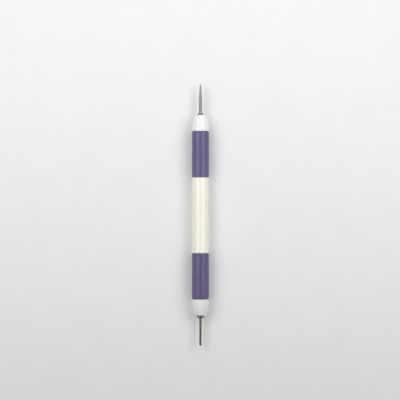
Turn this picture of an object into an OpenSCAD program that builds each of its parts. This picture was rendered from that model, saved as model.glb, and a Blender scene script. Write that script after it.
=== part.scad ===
// Double-ended paper quilling tool, with a needle at one end and a slotted pin at the other.
// A hollow moulded barrel has a neck at each end, and a rubber sleeve is pushed over each neck.
// A bullet-shaped nose plugs into each end of the bore, traps the sleeve and holds the steel tip.
// The tool lies on its side along Y, with the needle towards +Y and the origin below its middle.

/* [Barrel] */
// Outside diameter of the barrel between the two sleeves
barrel_d = 9.2; // [8.4:0.1:10]
// Length of the barrel that shows between the two sleeves
barrel_len = 41.5; // [20:0.5:80]
// Diameter of the bore that runs through the barrel
bore_d = 5.2; // [4.4:0.1:5.8]
// Diameter of the neck that carries each sleeve
neck_d = 7; // [6.4:0.1:7.8]
// Radius on the edge of each shoulder of the barrel
shoulder_round = 0.25; // [0.05:0.05:0.4]
// Number of holding rings around each neck
ring_count = 3; // [1:1:5]
// Width of a holding ring at its foot
ring_w = 1.2; // [0.6:0.1:2]
// Height of a holding ring above the neck
ring_h = 0.25; // [0.1:0.05:0.4]

/* [Sleeves] */
// Outside diameter of a rubber sleeve
sleeve_d = 9.4; // [9:0.1:10.6]
// Length of a rubber sleeve
sleeve_len = 25.1; // [12:0.1:40]
// Radius on the end edges of a sleeve
sleeve_round = 0.35; // [0.1:0.05:0.5]

/* [Noses] */
// Diameter of a nose where it meets the sleeve
nose_d = 9.1; // [8.4:0.1:10]
// Length of a nose from the sleeve to its face
nose_len = 8.8; // [5:0.1:14]
// Diameter of the flat face that carries the collar
nose_face_d = 5.7; // [4.2:0.1:6.6]
// Radius on the edge of a nose beside the sleeve
nose_round = 0.25; // [0.05:0.05:0.4]
// Length of the tail that plugs into the bore
tail_len = 12; // [8:0.5:20]
// Chamfer on the end of the tail
tail_chamfer = 0.6; // [0.2:0.1:0.9]
// Number of crush ribs around the tail
rib_count = 6; // [3:1:8]
// Width of a crush rib
rib_w = 0.7; // [0.4:0.1:1]
// Height of a crush rib
rib_h = 0.25; // [0.1:0.05:0.4]

/* [Needle] */
// Diameter of the needle's shank
needle_d = 1.75; // [1.2:0.05:2]
// Length of the needle outside the nose
needle_out = 17; // [13:0.5:30]
// Length of the needle's tapered point
needle_point = 9; // [5:0.5:11]
// Radius of the needle's very tip
needle_tip_r = 0.09; // [0.05:0.01:0.2]
// Length of the cone between the needle's root and its shank
needle_cone = 0.5; // [0.2:0.1:1]
// Diameter of the collar at the foot of the needle
needle_collar_d = 3.2; // [2.9:0.1:4]
// Thickness of the collar at the foot of the needle
needle_collar_h = 0.9; // [0.5:0.1:1.5]

/* [Slotted pin] */
// Diameter of the slotted pin
pin_d = 1.3; // [1:0.05:1.8]
// Length of the slotted pin outside the nose
pin_out = 16.5; // [12:0.5:24]
// Width of the slot that grips the paper strip
slot_w = 0.35; // [0.2:0.05:0.45]
// Depth of the slot from the end of the pin
slot_depth = 8; // [4:0.5:9]
// Radius on the end of the slotted pin
pin_end_round = 0.2; // [0.05:0.05:0.25]
// Length of the cone between the pin's root and its shank
pin_cone = 0.9; // [0.4:0.1:1.4]
// Diameter of the collar at the foot of the pin
pin_collar_d = 4; // [3.2:0.1:4.2]
// Thickness of the collar at the foot of the pin
pin_collar_h = 1.1; // [0.6:0.1:1.6]

/* [Roots of the steel tips] */
// Diameter of the root that holds each steel tip in its nose
root_d = 2.3; // [2.1:0.05:2.6]
// Length of the root inside the nose
root_held = 12; // [6:0.5:14]
// Chamfer on the inner end of the root
root_chamfer = 0.25; // [0.1:0.05:0.4]
// Number of glue grooves around each root
groove_count = 3; // [1:1:4]
// Width of a glue groove
groove_w = 0.8; // [0.4:0.1:1.2]
// Depth of a glue groove
groove_depth = 0.1; // [0.05:0.01:0.2]

/* [Fits] */
// Gap between a sleeve and the plastic around it
sleeve_gap = 0.05; // [0.02:0.01:0.1]
// Gap between the crush ribs and the bore
tail_gap = 0.02; // [0.01:0.01:0.05]
// Gap around the root of a steel tip, in its nose and collar
root_gap = 0.02; // [0.01:0.01:0.05]

/* [Hidden] */
$fn = 72;
arc_steps = 5;
nose_steps = 18;
point_steps = 8;
cut_margin = 1;
neck_len = sleeve_len + 2 * sleeve_gap;
neck_start = barrel_len / 2;
neck_end = neck_start + neck_len;
nose_face = neck_end + nose_len;
// The needle and the pin stand out by different lengths, so the tool's middle is off the barrel's
needle_tip = nose_face + needle_out;
pin_tip = nose_face + pin_out;
middle = (needle_tip - pin_tip) / 2;
axis_height = max(barrel_d, sleeve_d, nose_d) / 2;
// The nose is a quarter ellipse cut off where it has narrowed to its face
nose_reach = nose_len / sqrt(1 - pow(nose_face_d / nose_d, 2));
tail_d = bore_d - 2 * tail_gap - 2 * rib_h;
root_end = nose_face - root_held;
steel = [0.62, 0.62, 0.6];
ivory = [0.96, 0.95, 0.89];
white = [0.97, 0.97, 0.96];
purple = [0.45, 0.41, 0.57];

// Points of an arc about a centre [across, along], from one angle to another
function arc(centre, r, from, to) = [
  for (i = [0 : arc_steps])
    let (a = from + (to - from) * i / arc_steps)
      [centre[0] + r * cos(a), centre[1] + r * sin(a)]
];

// Distance along the neck to the middle of a holding ring
function ring_at(i) = neck_start + neck_len * (i + 0.5) / ring_count;

// Turns a shape that stands along Z onto the tool's axis, with +Z towards the needle
module on_axis() {
  translate([0, -middle, axis_height])
    rotate([-90, 0, 0])
      children();
}

// Places a shape drawn for the needle's end at the pin's end
module other_end() {
  mirror([0, 0, 1])
    children();
}

// Ring with sloping sides around the neck, drawn as half of its section
module ring_section(at, base_r, w, h) {
  translate([0, at])
    polygon([
      [base_r - h, -w / 2],
      [base_r, -w / 2],
      [base_r + h, -w / 4],
      [base_r + h, w / 4],
      [base_r, w / 2],
      [base_r - h, w / 2]
    ]);
}

// Half section of the barrel from its middle to the end of one neck
module half_barrel_section() {
  r = barrel_d / 2;
  difference() {
    union() {
      polygon(concat(
        [[bore_d / 2, 0], [r, 0]],
        arc([r - shoulder_round, neck_start - shoulder_round], shoulder_round, 0, 90),
        [[neck_d / 2, neck_start], [neck_d / 2, neck_end], [bore_d / 2, neck_end]]
      ));
      for (i = [0 : ring_count - 1])
        ring_section(ring_at(i), neck_d / 2, ring_w, ring_h);
    }
    translate([0, -cut_margin])
      square([bore_d / 2, neck_end + 2 * cut_margin]);
  }
}

module barrel() {
  color(ivory)
    on_axis()
      rotate_extrude() {
        half_barrel_section();
        mirror([0, 1])
          half_barrel_section();
      }
}

// Rubber sleeve, with a groove in its bore for each holding ring
module sleeve() {
  r = sleeve_d / 2;
  inner_r = neck_d / 2 + sleeve_gap;
  low = neck_start + sleeve_gap;
  high = neck_end - sleeve_gap;
  color(purple)
    rotate_extrude()
      difference() {
        polygon(concat(
          [[inner_r, low]],
          arc([r - sleeve_round, low + sleeve_round], sleeve_round, -90, 0),
          arc([r - sleeve_round, high - sleeve_round], sleeve_round, 0, 90),
          [[inner_r, high]]
        ));
        for (i = [0 : ring_count - 1])
          ring_section(ring_at(i), inner_r, ring_w + 2 * sleeve_gap, ring_h);
      }
}

module needle_sleeve() {
  on_axis()
    sleeve();
}

module slot_sleeve() {
  on_axis()
    other_end()
      sleeve();
}

// Outside of a nose: a rounded shoulder, then the quarter ellipse up to the face
module nose_section() {
  r = nose_d / 2;
  polygon(concat(
    [[0, neck_end]],
    arc([r - nose_round, neck_end + nose_round], nose_round, -90, 0),
    [for (i = [1 : nose_steps])
      let (t = nose_round + (nose_len - nose_round) * i / nose_steps)
        [r * sqrt(1 - pow(t / nose_reach, 2)), neck_end + t]],
    [[0, nose_face]]
  ));
}

// Bullet nose with a ribbed tail, and a blind hole for the root of a steel tip
module nose() {
  tail_end = neck_end - tail_len;
  color(white)
    difference() {
      union() {
        rotate_extrude()
          nose_section();
        rotate_extrude()
          polygon([
            [0, tail_end],
            [tail_d / 2 - tail_chamfer, tail_end],
            [tail_d / 2, tail_end + tail_chamfer],
            [tail_d / 2, neck_end + nose_round],
            [0, neck_end + nose_round]
          ]);
        for (i = [0 : rib_count - 1])
          rotate([0, 0, 360 * i / rib_count])
            tail_rib(tail_end);
      }
      translate([0, 0, root_end - root_gap])
        cylinder(d = root_d + 2 * root_gap, h = root_held + root_gap + cut_margin);
    }
}

// Crush rib along the tail, with a sloping end that leads it into the bore
module tail_rib(tail_end) {
  root_r = tail_d / 2 - rib_h;
  top_r = bore_d / 2 - tail_gap;
  flat_r = sqrt(pow(top_r, 2) - pow(rib_w / 2, 2));
  rotate([90, 0, 0])
    linear_extrude(rib_w, center = true)
      polygon([
        [root_r, tail_end + tail_chamfer],
        [tail_d / 2, tail_end + tail_chamfer],
        [flat_r, tail_end + tail_chamfer + 2 * rib_h],
        [flat_r, neck_end + nose_round],
        [root_r, neck_end + nose_round]
      ]);
}

module needle_nose() {
  on_axis()
    nose();
}

module slot_nose() {
  on_axis()
    other_end()
      nose();
}

// Root of a steel tip, from its chamfered inner end to the face of its collar
function root_outline(collar_h) = [
  [0, root_end],
  [root_d / 2 - root_chamfer, root_end],
  [root_d / 2, root_end + root_chamfer],
  [root_d / 2, nose_face + collar_h]
];

// Steel tip turned from the given outline, with glue grooves around its root
module steel_tip(outline) {
  difference() {
    rotate_extrude()
      polygon(outline);
    for (i = [1 : groove_count])
      translate([0, 0, root_end + root_held * i / (groove_count + 1)])
        difference() {
          cylinder(d = root_d + cut_margin, h = groove_w, center = true);
          cylinder(d = root_d - 2 * groove_depth, h = groove_w + cut_margin, center = true);
        }
  }
}

// Polished steel needle with a long point that swells a little towards the shank
module needle() {
  r = needle_d / 2;
  taper_start = needle_tip - needle_point;
  color(steel)
    on_axis()
      steel_tip(concat(
        root_outline(needle_collar_h),
        [[r, nose_face + needle_collar_h + needle_cone]],
        [for (i = [0 : point_steps])
          let (t = i / point_steps)
            [needle_tip_r + (r - needle_tip_r) * (1 - pow(t, 1.25)),
              taper_start + (needle_point - needle_tip_r) * t]],
        [[0, needle_tip]]
      ));
}

// Steel pin, slotted from its end so that a strip of paper slides in from the side
module slotted_pin() {
  r = pin_d / 2;
  color(steel)
    on_axis()
      other_end()
        difference() {
          steel_tip(concat(
            root_outline(pin_collar_h),
            [[r, nose_face + pin_collar_h + pin_cone]],
            arc([r - pin_end_round, pin_tip - pin_end_round], pin_end_round, 0, 90),
            [[0, pin_tip]]
          ));
          translate([-pin_d, -slot_w / 2, pin_tip - slot_depth])
            cube([2 * pin_d, slot_w, slot_depth + cut_margin]);
        }
}

// Flat turned collar around a root, with a bevelled edge, seated on the face of the nose
module collar(outer_d, thickness) {
  r = outer_d / 2;
  bore_r = root_d / 2 + root_gap;
  bevel = thickness / 5;
  color(steel)
    rotate_extrude()
      polygon([
        [bore_r, nose_face],
        [r, nose_face],
        [r, nose_face + thickness - bevel],
        [r - bevel, nose_face + thickness],
        [bore_r, nose_face + thickness]
      ]);
}

module needle_collar() {
  on_axis()
    collar(needle_collar_d, needle_collar_h);
}

module slot_collar() {
  on_axis()
    other_end()
      collar(pin_collar_d, pin_collar_h);
}

barrel();
needle_sleeve();
slot_sleeve();
needle_nose();
slot_nose();
needle();
slotted_pin();
needle_collar();
slot_collar();
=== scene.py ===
import math

import bmesh
import bpy
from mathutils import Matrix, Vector


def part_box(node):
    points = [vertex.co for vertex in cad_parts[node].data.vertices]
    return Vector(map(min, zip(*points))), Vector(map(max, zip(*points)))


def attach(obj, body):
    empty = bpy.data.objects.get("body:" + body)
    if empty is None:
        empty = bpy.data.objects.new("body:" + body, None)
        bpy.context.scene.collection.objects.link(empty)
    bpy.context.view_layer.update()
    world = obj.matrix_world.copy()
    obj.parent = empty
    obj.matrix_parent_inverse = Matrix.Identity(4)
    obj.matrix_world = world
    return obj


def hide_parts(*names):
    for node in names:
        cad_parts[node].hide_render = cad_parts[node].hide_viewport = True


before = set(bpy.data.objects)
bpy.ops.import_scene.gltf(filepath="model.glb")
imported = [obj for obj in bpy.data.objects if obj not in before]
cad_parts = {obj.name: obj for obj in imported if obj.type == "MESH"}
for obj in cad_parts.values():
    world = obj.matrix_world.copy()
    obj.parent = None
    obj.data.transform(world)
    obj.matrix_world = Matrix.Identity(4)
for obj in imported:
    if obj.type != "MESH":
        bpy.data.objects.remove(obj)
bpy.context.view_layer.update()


# Camera: it looks straight down on the tool, as the photograph does, with the needle towards the top.
# A long lens keeps both ends of the tool as square to the view as they are there.
camera_data = bpy.data.cameras.new("camera_above")
camera_data.lens = 200
camera_data.sensor_width = 36
camera_data.clip_start = 0.02
camera_data.clip_end = 20
camera = bpy.data.objects.new("camera_above", camera_data)
camera.location = (-0.00025, 0.0081, 1.2203)
bpy.context.scene.collection.objects.link(camera)
bpy.context.scene.camera = camera


# Barrel: one ivory plastic moulding with a bore right through it. Each end is a neck with three holding
# rings for a rubber sleeve. The mould's two halves met along the sides and left a fine flash line there.
barrel_low, barrel_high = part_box("barrel")
axis_height = (barrel_low.z + barrel_high.z) / 2
middle_y = (barrel_low.y + barrel_high.y) / 2
barrel_r = 0.0046
barrel_rim = 0.00025
bore_r = 0.0026
bore_mouth = 0.001
neck_r = 0.0035
neck_rim = 0.0001
neck_start = 0.02075
neck_end = (barrel_high.y - barrel_low.y) / 2
ring_height = 0.00025
ring_half_top = 0.0003
ring_half_foot = 0.0006
ring_places = [neck_start + (neck_end - neck_start) * (i + 0.5) / 3 for i in range(3)]
barrel_flash_wide = 0.00012
barrel_flash_high = 0.000025


def turn_outline(outline, closed=False, steps=96):
    """Spins half a section, as points of distance from the tool's middle and radius, round the axis."""
    bm = bmesh.new()
    corners = [bm.verts.new((0, middle_y + along, axis_height + radius)) for along, radius in outline]
    followers = corners[1:] + corners[:1] if closed else corners[1:]
    lines = [bm.edges.new(pair) for pair in zip(corners, followers)]
    bmesh.ops.spin(bm, geom=corners + lines, cent=(0, middle_y, axis_height), axis=(0, 1, 0),
                   dvec=(0, 0, 0), angle=math.tau, steps=steps, use_merge=True, use_duplicate=False)
    bmesh.ops.remove_doubles(bm, verts=bm.verts, dist=1e-7)
    bmesh.ops.dissolve_degenerate(bm, edges=bm.edges, dist=1e-8)
    bmesh.ops.recalc_face_normals(bm, faces=bm.faces)
    return bm


def place_of(vert):
    """Where a point of a turned piece lies: its distance from the tool's middle, and its radius."""
    return vert.co.y - middle_y, math.hypot(vert.co.x, vert.co.z - axis_height)


def round_edges(bm, edges, by, segments):
    """Rounds off the given edges."""
    bmesh.ops.bevel(bm, geom=edges, offset=by, offset_type="OFFSET", affect="EDGES", segments=segments,
                    profile=0.5, material=-1, clamp_overlap=True, loop_slide=True)


def round_rim(bm, along, radius, by, segments):
    """Rounds off the rim that runs round a turned piece at this distance and radius."""
    on_rim = {v for v in bm.verts if math.dist(place_of(v), (along, radius)) < 2e-6}
    round_edges(bm, [e for e in bm.edges if on_rim.issuperset(e.verts)], by, segments)


def raise_flash_line(bm, inside_of, wide, high):
    """Leaves a fine ridge along both sides of a moulding, where the halves of its mould met."""
    for shift in (-wide / 2, wide / 2):
        bmesh.ops.bisect_plane(bm, geom=bm.verts[:] + bm.edges[:] + bm.faces[:], dist=1e-8,
                               plane_co=(0, 0, axis_height + shift), plane_no=(0, 0, 1))
    for v in bm.verts:
        if abs(v.co.z - axis_height) < 1e-7 and place_of(v)[1] > inside_of:
            v.co.x += math.copysign(high, v.co.x)


def finish_piece(bm, name, material, node, sharp=35):
    """Makes the mesh an object that stands for its node, with its material."""
    mesh = bpy.data.meshes.new(name)
    bm.to_mesh(mesh)
    bm.free()
    mesh.shade_smooth()
    mesh.set_sharp_from_angle(angle=math.radians(sharp))
    mesh.materials.append(material)
    piece = bpy.data.objects.new(name, mesh)
    bpy.context.scene.collection.objects.link(piece)
    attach(piece, "root")
    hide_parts(node)


def lay(tree, kind, inputs=(), **settings):
    """Adds a node, sets it up, and fills its sockets with plain values or with links."""
    made = tree.nodes.new("ShaderNode" + kind)
    for key, value in settings.items():
        setattr(made, key, value)
    for key, value in dict(inputs).items():
        if isinstance(value, bpy.types.NodeSocket):
            tree.links.new(value, made.inputs[key])
        else:
            made.inputs[key].default_value = value
    return made


def start_group(name, inputs, outputs):
    """Begins a node group whose inputs have the given names and first values."""
    tree = bpy.data.node_groups.new(name, "ShaderNodeTree")
    tree.interface.new_socket("Vector", in_out="INPUT", socket_type="NodeSocketVector")
    for label, value in inputs.items():
        socket = tree.interface.new_socket(label, in_out="INPUT", socket_type="NodeSocketFloat")
        socket.default_value = value
    for label in outputs:
        tree.interface.new_socket(label, in_out="OUTPUT", socket_type="NodeSocketFloat")
    return tree, tree.nodes.new("NodeGroupInput").outputs, tree.nodes.new("NodeGroupOutput").inputs


def lay_group(tree, group, inputs):
    """Places a shared group in a material, with this piece's values, and gives what it puts out."""
    return lay(tree, "Group", inputs, node_tree=group).outputs


def reckon(tree, operation, a, b=0.0):
    """Does one step of arithmetic on two values, or on the first alone."""
    return lay(tree, "Math", {0: a, 1: b}, operation=operation).outputs["Value"]


def cloud_over(tree, vector, scale, detail, roughness=0.5):
    """Gives a cloudy pattern of the given scale."""
    return lay(tree, "TexNoise", {"Vector": vector, "Scale": scale, "Detail": detail,
                                  "Roughness": roughness}).outputs["Fac"]


def spread(tree, value, low, high, to_low, to_high, smooth=False):
    """Stretches a value from one range to another."""
    return lay(tree, "MapRange", {"Value": value, "From Min": low, "From Max": high, "To Min": to_low,
               "To Max": to_high}, interpolation_type="SMOOTHSTEP" if smooth else "LINEAR").outputs["Result"]


def tint(tree, mask, stops):
    """Turns a mask into colours that blend between the given stops."""
    ramp = lay(tree, "ValToRGB", {"Fac": mask})
    while len(ramp.color_ramp.elements) < len(stops):
        ramp.color_ramp.elements.new(0.5)
    for element, (position, colour) in zip(ramp.color_ramp.elements, stops):
        element.position = position
        element.color = (*colour, 1)
    return ramp.outputs["Color"]


def blend_colours(tree, share, first, second):
    """Blends from one colour to another by a share."""
    return lay(tree, "Mix", {0: share, 6: first, 7: second}, data_type="RGBA").outputs[2]


def start_material(name):
    """Begins a material with its shader, and gives the piece's own coordinates."""
    material = bpy.data.materials.new(name)
    material.use_nodes = True
    tree = material.node_tree
    tree.nodes.clear()
    shader = lay(tree, "BsdfPrincipled")
    lay(tree, "OutputMaterial", {"Surface": shader.outputs["BSDF"]})
    return material, tree, shader, tree.nodes.new("ShaderNodeTexCoord").outputs["Object"]


def give_skin(tree, shader, colour, roughness, height, depth, strength):
    """Feeds a shader its colour and roughness, and a fine relief of the given depth."""
    bump = lay(tree, "Bump", {"Height": height, "Distance": depth, "Strength": strength})
    tree.links.new(colour, shader.inputs["Base Color"])
    tree.links.new(roughness, shader.inputs["Roughness"])
    tree.links.new(bump.outputs["Normal"], shader.inputs["Normal"])


# Moulded plastic is a little cloudy inside, and its skin copies the fine spark texture of the mould
moulded_skin, given, result = start_group(
    "moulded_skin", {"Cloud Scale": 120, "Grain Scale": 5000, "Waviness": 0.3}, ["Tone", "Height"])
stretched = lay(moulded_skin, "VectorMath", {0: given["Vector"], 1: (3, 0.35, 3)}, operation="MULTIPLY")
cloud = cloud_over(moulded_skin, given["Vector"], given["Cloud Scale"], 4)
flow = cloud_over(moulded_skin, stretched.outputs["Vector"], given["Cloud Scale"], 2)
grain = cloud_over(moulded_skin, given["Vector"], given["Grain Scale"], 2)
tone = reckon(moulded_skin, "MULTIPLY", reckon(moulded_skin, "ADD", cloud, flow), 0.5)
waves = reckon(moulded_skin, "MULTIPLY", cloud, given["Waviness"])
moulded_skin.links.new(tone, result["Tone"])
moulded_skin.links.new(reckon(moulded_skin, "ADD", grain, waves), result["Height"])

# Beside the joints the colour darkens: a little dust and skin grease where a cloth doesn't reach, and painted
# shade where the parts meet
joint_dirt_and_shade, given, result = start_group(
    "joint_dirt_and_shade", {"Low End": -0.02, "High End": 0.02, "Reach": 0.001}, ["Soil"])
along = lay(joint_dirt_and_shade, "SeparateXYZ", {0: given["Vector"]}).outputs["Y"]
from_low = reckon(joint_dirt_and_shade, "SUBTRACT", along, given["Low End"])
from_high = reckon(joint_dirt_and_shade, "SUBTRACT", given["High End"], along)
nearest = reckon(joint_dirt_and_shade, "ABSOLUTE", reckon(joint_dirt_and_shade, "MINIMUM", from_low, from_high))
patches = spread(joint_dirt_and_shade, cloud_over(joint_dirt_and_shade, given["Vector"], 700, 4), 0.3, 0.7, 0.4, 1.4)
ragged = reckon(joint_dirt_and_shade, "MULTIPLY", patches, given["Reach"])
joint_dirt_and_shade.links.new(spread(joint_dirt_and_shade, nearest, 0, ragged, 1, 0, smooth=True), result["Soil"])

ivory, tree, shader, coords = start_material("ivory_plastic")
skin = lay_group(tree, moulded_skin, {"Vector": coords, "Cloud Scale": 140, "Grain Scale": 5200})
dirt_and_shade = lay_group(tree, joint_dirt_and_shade, {"Vector": coords, "Low End": middle_y - neck_start,
                                    "High End": middle_y + neck_start, "Reach": 0.0007})
clean = tint(tree, skin["Tone"], [(0.35, (0.915, 0.901, 0.784)), (0.65, (0.945, 0.933, 0.825))])
# Beside the barrel's shoulders the ivory darkens towards brown: dust, and painted shade at the joints with
# the sleeves
dirtied_and_shaded = blend_colours(tree, reckon(tree, "MULTIPLY", dirt_and_shade["Soil"], 0.4), clean, (0.52, 0.47, 0.37, 1))
gloss = spread(tree, skin["Tone"], 0.3, 0.7, 0.17, 0.21)
give_skin(tree, shader, dirtied_and_shaded, gloss, skin["Height"], 0.000004, 0.6)
shader.inputs["Subsurface Weight"].default_value = 0.12
shader.inputs["Subsurface Radius"].default_value = (1.0, 0.8, 0.5)
shader.inputs["Subsurface Scale"].default_value = 0.0007
shader.inputs["IOR"].default_value = 1.5

# Stations along the straight stretches keep the shading of a rounded rim off the flat beside it
barrel_stations = (0.007, 0.014, neck_start - 0.0006)
outer = [(station, barrel_r) for station in barrel_stations] + [(neck_start, barrel_r), (neck_start, neck_r)]
for ring in ring_places:
    outer += [(ring - ring_half_foot, neck_r), (ring - ring_half_top, neck_r + ring_height),
              (ring + ring_half_top, neck_r + ring_height), (ring + ring_half_foot, neck_r)]
outer += [(neck_end, neck_r), (neck_end, bore_r), (neck_end - bore_mouth, bore_r)]
mirrored = [(-along, radius) for along, radius in reversed(outer)]
barrel = turn_outline(mirrored + outer, closed=True, steps=128)
for side in (-1, 1):
    round_rim(barrel, side * neck_start, barrel_r, barrel_rim, 5)
    round_rim(barrel, side * neck_end, neck_r, neck_rim, 2)
    round_rim(barrel, side * neck_end, bore_r, neck_rim, 2)
raise_flash_line(barrel, barrel_r - 0.0001, barrel_flash_wide, barrel_flash_high)
finish_piece(barrel, "barrel_moulding", ivory, "barrel")


# Sleeves: two short tubes of soft purple rubber, cut from an extruded length and pushed over the necks.
# They are matt and a little mottled, swell slightly over the rings, and draw in towards the noses.
sleeve_r = 0.00469
sleeve_inner_end_r = sleeve_r - 0.00002
sleeve_nose_end_r = sleeve_r - 0.00012
sleeve_inner_rim = 0.0003
sleeve_nose_rim = 0.0005
sleeve_bore_r = 0.00355
sleeve_bore_rim = 0.0001
sleeve_start = 0.0208
sleeve_end = 0.0459
dip_between_rings = 0.00004
draw_at_nose = 0.0001
draw_len = 0.0024
groove_depth = 0.00025
groove_half_top = 0.000325
groove_half_foot = 0.00065


def turn_both_ways(outline, side, closed=False, steps=96):
    """Turns the same section at the needle's end, for a side of 1, or at the pin's end, for -1."""
    return turn_outline([(side * along, radius) for along, radius in outline], closed=closed, steps=steps)


# Drawing or extruding leaves faint lines along a piece, each at its own place round it
length_streaks, given, result = start_group("length_streaks", {"Count": 20, "Wander": 6}, ["Streak"])
parts = lay(length_streaks, "SeparateXYZ", {0: given["Vector"]}).outputs
level = reckon(length_streaks, "SUBTRACT", parts["Z"], axis_height)
angle = reckon(length_streaks, "ARCTAN2", parts["X"], level)
turns = reckon(length_streaks, "MULTIPLY", angle, given["Count"])
slow = reckon(length_streaks, "MULTIPLY", parts["Y"], given["Wander"])
unrolled = lay(length_streaks, "CombineXYZ", {"X": turns, "Y": slow}).outputs["Vector"]
length_streaks.links.new(cloud_over(length_streaks, unrolled, 1, 4, 0.6), result["Streak"])

rubber, tree, shader, coords = start_material("purple_rubber")
skin = lay_group(tree, moulded_skin, {"Vector": coords, "Cloud Scale": 260, "Grain Scale": 6500,
                                      "Waviness": 0.8})
streaks = lay_group(tree, length_streaks, {"Vector": coords, "Count": 7, "Wander": 30})
mottle = reckon(tree, "ADD", reckon(tree, "MULTIPLY", skin["Tone"], 0.6),
                reckon(tree, "MULTIPLY", streaks["Streak"], 0.4))
body = tint(tree, mottle, [(0.3, (0.077, 0.067, 0.152)), (0.5, (0.095, 0.084, 0.186)),
                           (0.7, (0.115, 0.104, 0.213))])
batch = cloud_over(tree, coords, 85, 1)
drift = tint(tree, batch, [(0.36, (0.079, 0.086, 0.182)), (0.64, (0.117, 0.083, 0.2))])
specks = lay(tree, "TexVoronoi", {"Vector": coords, "Scale": 1500})
dust = spread(tree, specks.outputs["Distance"], 0.04, 0.09, 0.45, 0)
dusty = blend_colours(tree, dust, blend_colours(tree, 0.55, body, drift), (0.42, 0.41, 0.45, 1))
gloss = spread(tree, mottle, 0.3, 0.7, 0.35, 0.43)
ridges = reckon(tree, "MULTIPLY", streaks["Streak"], 0.5)
give_skin(tree, shader, dusty, gloss, reckon(tree, "ADD", skin["Height"], ridges), 0.000032, 1.0)
shader.inputs["IOR"].default_value = 1.75
shader.inputs["Specular Tint"].default_value = (0.82, 0.7, 1.0, 1)

pitch = ring_places[1] - ring_places[0]
tube = [(sleeve_start, sleeve_bore_r), (sleeve_start, sleeve_inner_end_r)]
for i in range(1, 32):
    along = sleeve_start + (sleeve_end - sleeve_start) * i / 32
    dip = 0.5 - 0.5 * math.cos(math.tau * (along - ring_places[0]) / pitch)
    near_nose = max(0, 1 - (sleeve_end - along) / draw_len)
    tube.append((along, sleeve_r - dip_between_rings * dip - draw_at_nose * near_nose ** 2))
tube += [(sleeve_end, sleeve_nose_end_r), (sleeve_end, sleeve_bore_r)]
for ring in reversed(ring_places):
    tube += [(ring + groove_half_foot, sleeve_bore_r), (ring + groove_half_top, sleeve_bore_r + groove_depth),
             (ring - groove_half_top, sleeve_bore_r + groove_depth), (ring - groove_half_foot, sleeve_bore_r)]
for side, node in ((1, "needle_sleeve"), (-1, "slot_sleeve")):
    sleeve = turn_both_ways(tube, side, closed=True, steps=128)
    round_rim(sleeve, side * sleeve_start, sleeve_inner_end_r, sleeve_inner_rim, 6)
    round_rim(sleeve, side * sleeve_end, sleeve_nose_end_r, sleeve_nose_rim, 7)
    for end in (sleeve_start, sleeve_end):
        round_rim(sleeve, side * end, sleeve_bore_r, sleeve_bore_rim, 2)
    finish_piece(sleeve, node + "_rubber", rubber, node)


# Noses: two bullet-shaped white mouldings, alike but for the tip that each holds. A ribbed tail plugs
# into the barrel's bore, the shoulder traps the sleeve, and the flat face carries the collar.
nose_r = 0.00455
nose_rim = 0.00025
nose_len = 0.0088
nose_shoulder = 0.0006
nose_face = neck_end + nose_len
nose_face_r = 0.00285
nose_face_rim = 0.00012
nose_reach = nose_len / math.sqrt(1 - (nose_face_r / nose_r) ** 2)
tail_end = neck_end - 0.012
tail_r = 0.00233
tail_lead = 0.0006
hole_r = 0.00117
hole_rim = 0.00005
hole_end = nose_face - 0.01202
nose_flash_inside = 0.0022
nose_flash_wide = 0.0001
nose_flash_high = 0.00002
rib_start = neck_end - 0.0107
rib_end = neck_end - 0.0003
rib_height = 0.00023
rib_lead = 0.0004
half_rib = math.radians(9)

white, tree, shader, coords = start_material("white_plastic")
skin = lay_group(tree, moulded_skin, {"Vector": coords, "Cloud Scale": 200, "Grain Scale": 5600})
dirt_and_shade = lay_group(tree, joint_dirt_and_shade, {"Vector": coords, "Low End": middle_y - neck_end,
                                    "High End": middle_y + neck_end, "Reach": 0.0006})
clean = tint(tree, skin["Tone"], [(0.35, (0.835, 0.84, 0.83)), (0.65, (0.865, 0.87, 0.862))])
# Beside the noses' shoulders the white darkens: dust, and painted shade at the joints with the sleeves
dirtied_and_shaded = blend_colours(tree, reckon(tree, "MULTIPLY", dirt_and_shade["Soil"], 0.35), clean, (0.5, 0.48, 0.44, 1))
gloss = spread(tree, skin["Tone"], 0.3, 0.7, 0.23, 0.28)
give_skin(tree, shader, dirtied_and_shaded, gloss, skin["Height"], 0.000005, 0.6)
shader.inputs["Subsurface Weight"].default_value = 0.12
shader.inputs["Subsurface Radius"].default_value = (1.0, 0.9, 0.7)
shader.inputs["Subsurface Scale"].default_value = 0.0007
shader.inputs["IOR"].default_value = 1.5


def raise_rib(nose, side, outward):
    """Raises one crush rib from the tail, where it faces the given way, with a round back and a lead-in."""
    seat = []
    for face in nose.faces:
        spot = face.calc_center_median() - Vector((0, middle_y, axis_height))
        away = Vector((spot.x, 0, spot.z))
        on_tail = rib_start < side * spot.y < rib_end and away.length > tail_r - 0.0001
        if on_tail and away.angle(outward) < half_rib:
            seat.append(face)
    raised = bmesh.ops.extrude_face_region(nose, geom=seat)["geom"]
    bmesh.ops.delete(nose, geom=seat, context="FACES")
    for v in (item for item in raised if isinstance(item, bmesh.types.BMVert)):
        away = Vector((v.co.x, 0, v.co.z - axis_height)).normalized()
        v.co += away * rib_height * (1 - 0.5 * (away.angle(outward) / half_rib) ** 2)
        if side * (v.co.y - middle_y) < rib_start + 1e-5:
            v.co.y += side * rib_lead


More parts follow.
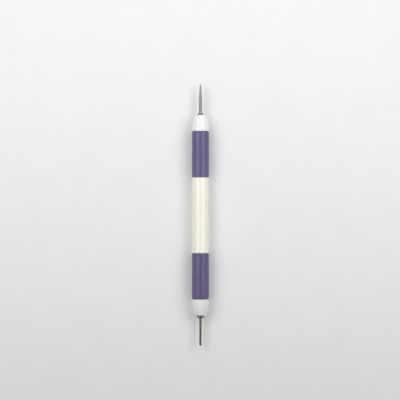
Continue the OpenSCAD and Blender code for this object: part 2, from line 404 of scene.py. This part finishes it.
bullet = [(tail_end, 0), (tail_end, tail_r - tail_lead), (tail_end + tail_lead, tail_r), (rib_start, tail_r),
          (rib_end, tail_r), (neck_end, tail_r), (neck_end, nose_r)]
for i in range(1, 25):
    out = nose_shoulder + (nose_len - nose_shoulder) * i / 24
    bullet.append((neck_end + out, nose_r * math.sqrt(1 - (out / nose_reach) ** 2)))
bullet += [(nose_face, hole_r), (hole_end, hole_r), (hole_end, 0)]
for side, node in ((1, "needle_nose"), (-1, "slot_nose")):
    nose = turn_both_ways(bullet, side, steps=120)
    round_rim(nose, side * neck_end, nose_r, nose_rim, 5)
    round_rim(nose, side * nose_face, nose_face_r, nose_face_rim, 3)
    round_rim(nose, side * nose_face, hole_r, hole_rim, 2)
    raise_flash_line(nose, nose_flash_inside, nose_flash_wide, nose_flash_high)
    for i in range(6):
        raise_rib(nose, side, Vector((math.sin(math.tau * i / 6), 0, math.cos(math.tau * i / 6))))
    finish_piece(nose, node + "_moulding", white, node)


# Collars: two small steel washers turned on a lathe, one around the foot of each tip. Each sits on its
# nose's flat face with a bevelled outer edge, and covers the mouth of the hole.
collar_bore_r = 0.00117
collar_bore_rim = 0.00003
needle_collar_r = 0.0016
needle_collar_height = 0.0009
slot_collar_r = 0.002
slot_collar_height = 0.0011

# A lathe leaves fine rings, which run round a side and in circles over an end face
turning_lines, given, result = start_group("turning_lines", {"Per Metre": 20000}, ["Line"])
parts = lay(turning_lines, "SeparateXYZ", {0: given["Vector"]}).outputs
level = reckon(turning_lines, "SUBTRACT", parts["Z"], axis_height)
squares = reckon(turning_lines, "ADD", reckon(turning_lines, "MULTIPLY", parts["X"], parts["X"]),
                 reckon(turning_lines, "MULTIPLY", level, level))
reach = reckon(turning_lines, "ADD", reckon(turning_lines, "POWER", squares, 0.5), parts["Y"])
path = reckon(turning_lines, "MULTIPLY", reach, given["Per Metre"])
cuts = lay(turning_lines, "TexNoise", {"W": path, "Scale": 1, "Detail": 3, "Roughness": 0.65},
           noise_dimensions="1D")
turning_lines.links.new(cuts.outputs["Fac"], result["Line"])

collar_steel, tree, shader, coords = start_material("collar_steel")
turned = lay_group(tree, turning_lines, {"Vector": coords, "Per Metre": 14000})
film = cloud_over(tree, coords, 900, 4)
tone = tint(tree, film, [(0.35, (0.176, 0.175, 0.15)), (0.65, (0.276, 0.273, 0.235))])
gloss = spread(tree, turned["Line"], 0.3, 0.7, 0.34, 0.48)
give_skin(tree, shader, tone, gloss, turned["Line"], 0.000006, 0.8)
shader.inputs["Metallic"].default_value = 1

for side, node, outer_r, height in ((1, "needle_collar", needle_collar_r, needle_collar_height),
                                    (-1, "slot_collar", slot_collar_r, slot_collar_height)):
    top = nose_face + height
    washer = [(nose_face, collar_bore_r), (nose_face, outer_r), (nose_face + height * 0.4, outer_r),
              (top, outer_r), (top, outer_r - 0.0004), (top, collar_bore_r)]
    collar = turn_both_ways(washer, side, closed=True)
    round_rim(collar, side * top, outer_r, height / 5, 3)
    round_rim(collar, side * top, collar_bore_r, collar_bore_rim, 1)
    finish_piece(collar, node + "_turned", collar_steel, node)


# Needle: a hardened steel awl, ground and polished to a long point. Its thicker root, with three glue
# grooves, stands in the nose and ends level with the collar.
root_r = 0.00115
root_rim = 0.00005
root_end = nose_face - 0.012
root_chamfer = 0.00025
glue_groove_r = root_r - 0.0001
glue_groove_half = 0.0004
glue_groove_pitch = 0.003
needle_r = 0.000875
needle_cone_end = nose_face + 0.0014
needle_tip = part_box("needle")[1].y - middle_y
taper_len = 0.009
taper_start = needle_tip - taper_len
tip_r = 0.00022
point_curve = 0.65

polished_steel, tree, shader, coords = start_material("polished_steel")
ground = lay_group(tree, turning_lines, {"Vector": coords, "Per Metre": 22000})
film = cloud_over(tree, coords, 160, 3)
tone = tint(tree, film, [(0.35, (0.235, 0.233, 0.223)), (0.65, (0.275, 0.273, 0.262))])
gloss = spread(tree, reckon(tree, "ADD", ground["Line"], film), 0.7, 1.3, 0.13, 0.24)
give_skin(tree, shader, tone, gloss, ground["Line"], 0.0000025, 0.7)
shader.inputs["Metallic"].default_value = 1


def root_outline(collar_height):
    """Half the section of a tip's root, from its chamfered inner end to the collar's face."""
    outline = [(root_end, 0), (root_end, root_r - root_chamfer), (root_end + root_chamfer, root_r)]
    for i in (1, 2, 3):
        groove = root_end + glue_groove_pitch * i
        near = groove - glue_groove_half
        far = groove + glue_groove_half
        outline += [(near, root_r), (near, glue_groove_r), (far, glue_groove_r), (far, root_r)]
    return outline + [(nose_face + collar_height - 0.0002, root_r), (nose_face + collar_height, root_r)]


needle_stations = (needle_cone_end, needle_cone_end + 0.0003, taper_start - 0.0006)
awl = root_outline(needle_collar_height) + [(station, needle_r) for station in needle_stations]
for i in range(25):
    point_r = tip_r + (needle_r - tip_r) * (1 - i / 24) ** point_curve
    awl.append((taper_start + (taper_len - tip_r) * i / 24, point_r))
for i in (1, 2, 3):
    awl.append((needle_tip - tip_r + tip_r * math.sin(i * math.pi / 8), tip_r * math.cos(i * math.pi / 8)))
needle = turn_outline(awl + [(needle_tip, 0)], steps=64)
round_rim(needle, nose_face + needle_collar_height, root_r, root_rim, 2)
finish_piece(needle, "needle_ground", polished_steel, "needle", sharp=40)


# Slotted pin: a short length of drawn steel wire, glued in like the needle. A fine saw has split its
# outer half, and a strip of paper slides into the slot from the side.
pin_r = 0.00065
pin_rim = 0.0002
pin_cone_end = nose_face + 0.002
pin_end = middle_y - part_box("slotted_pin")[0].y
slot_start = pin_end - 0.008
slot_y = middle_y - slot_start
slot_half = 0.000175
slot_arris = 0.00003


def blend_values(tree, share, first, second):
    """Blends from one value to another by a share."""
    return lay(tree, "Mix", {0: share, 2: first, 3: second}).outputs[0]


pin_steel, tree, shader, coords = start_material("pin_steel")
drawn = lay_group(tree, length_streaks, {"Vector": coords, "Count": 16, "Wander": 150})
sawn = lay_group(tree, turning_lines, {"Vector": coords, "Per Metre": 9000})
parts = lay(tree, "SeparateXYZ", {0: coords}).outputs
flatness = reckon(tree, "ABSOLUTE", reckon(tree, "SUBTRACT", parts["Z"], axis_height))
in_slot = spread(tree, flatness, slot_half + 0.000005, slot_half + 0.000025, 1, 0)
beyond = spread(tree, parts["Y"], slot_y - 0.00005, slot_y + 0.00005, 1, 0)
slot_face = reckon(tree, "MULTIPLY", in_slot, beyond)
bare = tint(tree, drawn["Streak"], [(0.35, (0.15, 0.149, 0.117)), (0.65, (0.247, 0.244, 0.195))])
cut = tint(tree, sawn["Line"], [(0.35, (0.07, 0.068, 0.06)), (0.65, (0.15, 0.146, 0.133))])
gloss = blend_values(tree, slot_face, spread(tree, drawn["Streak"], 0.3, 0.7, 0.24, 0.38), 0.55)
marks = blend_values(tree, slot_face, drawn["Streak"], sawn["Line"])
give_skin(tree, shader, blend_colours(tree, slot_face, bare, cut), gloss, marks, 0.000008, 0.8)
shader.inputs["Metallic"].default_value = 1

pin_stations = (pin_cone_end, pin_cone_end + 0.0004, slot_start - 0.0004, slot_start, slot_start + 0.004,
                pin_end - 0.0005, pin_end)
wire = root_outline(slot_collar_height) + [(station, pin_r) for station in pin_stations]
pin = turn_both_ways(wire + [(pin_end, 0)], -1, steps=64)
round_rim(pin, -nose_face - slot_collar_height, root_r, root_rim, 2)
round_rim(pin, -pin_end, pin_r, pin_rim, 4)
for shift in (-slot_half, slot_half):
    outer_part = [f for f in pin.faces if f.calc_center_median().y < slot_y]
    bounding = {e for f in outer_part for e in f.edges} | {v for f in outer_part for v in f.verts}
    bmesh.ops.bisect_plane(pin, geom=outer_part + list(bounding), dist=1e-8,
                           plane_co=(0, 0, axis_height + shift), plane_no=(0, 0, 1))
gap = [f for f in pin.faces if f.calc_center_median().y < slot_y
       and abs(f.calc_center_median().z - axis_height) < slot_half]
bmesh.ops.delete(pin, geom=gap, context="FACES")
walls = []
for shift in (-slot_half, slot_half):
    ends = [v for v in pin.verts if abs(v.co.y - slot_y) < 1e-6 and abs(v.co.z - axis_height - shift) < 1e-6
            and any(e.is_boundary for e in v.link_edges)]
    foot = pin.edges.new(ends)
    rim = [e for e in pin.edges if e.is_boundary
           and all(abs(v.co.z - axis_height - shift) < 1e-6 for v in e.verts)]
    walls += bmesh.ops.contextual_create(pin, geom=rim + [foot])["faces"]
floor_edges = [e for e in pin.edges if len(e.link_faces) < 2
               and all(abs(v.co.y - slot_y) < 1e-6 for v in e.verts)]
walls += bmesh.ops.contextual_create(pin, geom=floor_edges)["faces"]
bmesh.ops.recalc_face_normals(pin, faces=pin.faces)
arrises = [e for f in walls for e in f.edges if all(v.co.y < slot_y - 1e-6 for v in e.verts)]
round_edges(pin, arrises, slot_arris, 2)
finish_piece(pin, "slotted_pin_wire", pin_steel, "slotted_pin", sharp=40)


# Floor: a wide pale sheet that the tool lies on. It isn't part of the tool. Further out, the camera and
# reflections see a smooth glowing tone in its place, with painted shade that falls off towards the pin's end
# as the light does.
floor_r = 4


def seen_ray(tree):
    """Tells the rays of the camera, and of reflections and clear things, from those that carry light."""
    ray = tree.nodes.new("ShaderNodeLightPath").outputs
    seen = reckon(tree, "MAXIMUM", ray["Is Camera Ray"], ray["Is Glossy Ray"])
    return reckon(tree, "MAXIMUM", seen, ray["Is Transmission Ray"])


floor_material, tree, shader, coords = start_material("pale_floor")
fibres = cloud_over(tree, coords, 60, 5)
tree.links.new(tint(tree, fibres, [(0.3, (0.83, 0.83, 0.83)), (0.7, (0.85, 0.85, 0.85))]),
               shader.inputs["Base Color"])
shader.inputs["Roughness"].default_value = 0.9
shader.inputs["Specular IOR Level"].default_value = 0.2
from_tool = lay(tree, "VectorMath", {0: coords}, operation="LENGTH").outputs["Value"]
faded = reckon(tree, "MULTIPLY", seen_ray(tree), spread(tree, from_tool, 0.11, 0.26, 0, 1, smooth=True))
across = lay(tree, "SeparateXYZ", {0: coords}).outputs["Y"]
# Painted shade: the glowing tone darkens towards the pin's end as the lamps' light does, and evens out far
# away
painted_light_falloff = spread(tree, across, -0.2, 0.2, 0.66, 0.93, smooth=True)
painted_falloff_faded_out = blend_values(tree, spread(tree, from_tool, 0.4, 2, 0, 1, smooth=True), painted_light_falloff, 0.8)
far_off = lay(tree, "Emission", {"Color": painted_falloff_faded_out, "Strength": 1.0})
near_and_far = lay(tree, "MixShader", {0: faded, 1: shader.outputs["BSDF"], 2: far_off.outputs["Emission"]})
tree.links.new(near_and_far.outputs["Shader"], tree.nodes["Material Output"].inputs["Surface"])

sheet = bmesh.new()
bmesh.ops.create_circle(sheet, cap_ends=True, segments=96, radius=floor_r)
floor_mesh = bpy.data.meshes.new("floor")
sheet.to_mesh(floor_mesh)
sheet.free()
floor_mesh.materials.append(floor_material)
floor = bpy.data.objects.new("floor", floor_mesh)
bpy.context.scene.collection.objects.link(floor)


# Light: a soft lamp hangs beyond the needle's end, and two long soft strips above the sides each draw a faint
# band along the tool. All three are nearer to the needle, so the light falls off towards the pin.
def hang_lamp(name, place, aim, level_side, sloping_side, power):
    """Hangs a rectangular soft lamp that faces the given point, with one pair of its sides level."""
    lamp_data = bpy.data.lights.new(name, "AREA")
    lamp_data.shape = "RECTANGLE"
    lamp_data.size = level_side
    lamp_data.size_y = sloping_side
    lamp_data.energy = power
    lamp = bpy.data.objects.new(name, lamp_data)
    lamp.location = place
    lamp.rotation_euler = (Vector(aim) - Vector(place)).to_track_quat("-Z", "Y").to_euler()
    bpy.context.scene.collection.objects.link(lamp)


hang_lamp("end_lamp", (0.0, 0.298, 0.263), (0, 0, 0), 0.245, 0.14, 0.235)
hang_lamp("left_strip", (-0.24, 0.14, 0.335), (0, 0.14, 0), 0.4, 0.22, 0.86)
hang_lamp("right_strip", (0.26, 0.14, 0.32), (0, 0.14, 0), 0.4, 0.22, 0.86)

# The surroundings are pale low down and darker overhead, and give an even glow of their own
world = bpy.data.worlds.new("surroundings")
world.use_nodes = True
tree = world.node_tree
tree.nodes.clear()
direction = lay(tree, "SeparateXYZ", {0: tree.nodes.new("ShaderNodeTexCoord").outputs["Object"]})
sky = tint(tree, direction.outputs["Z"], [(0.0, (0.8, 0.8, 0.8)), (0.3, (0.36, 0.36, 0.36)),
                                          (0.8, (0.14, 0.14, 0.14))])
shown = lay(tree, "Background", {"Color": sky, "Strength": 1.0})
glow = lay(tree, "Background", {"Color": (0.28, 0.28, 0.28, 1), "Strength": 1.0})
both = lay(tree, "MixShader", {0: seen_ray(tree), 1: glow.outputs["Background"],
                               2: shown.outputs["Background"]})
lay(tree, "OutputWorld", {"Surface": both.outputs["Shader"]})
bpy.context.scene.world = world

bpy.context.scene.view_settings.view_transform = "Standard"
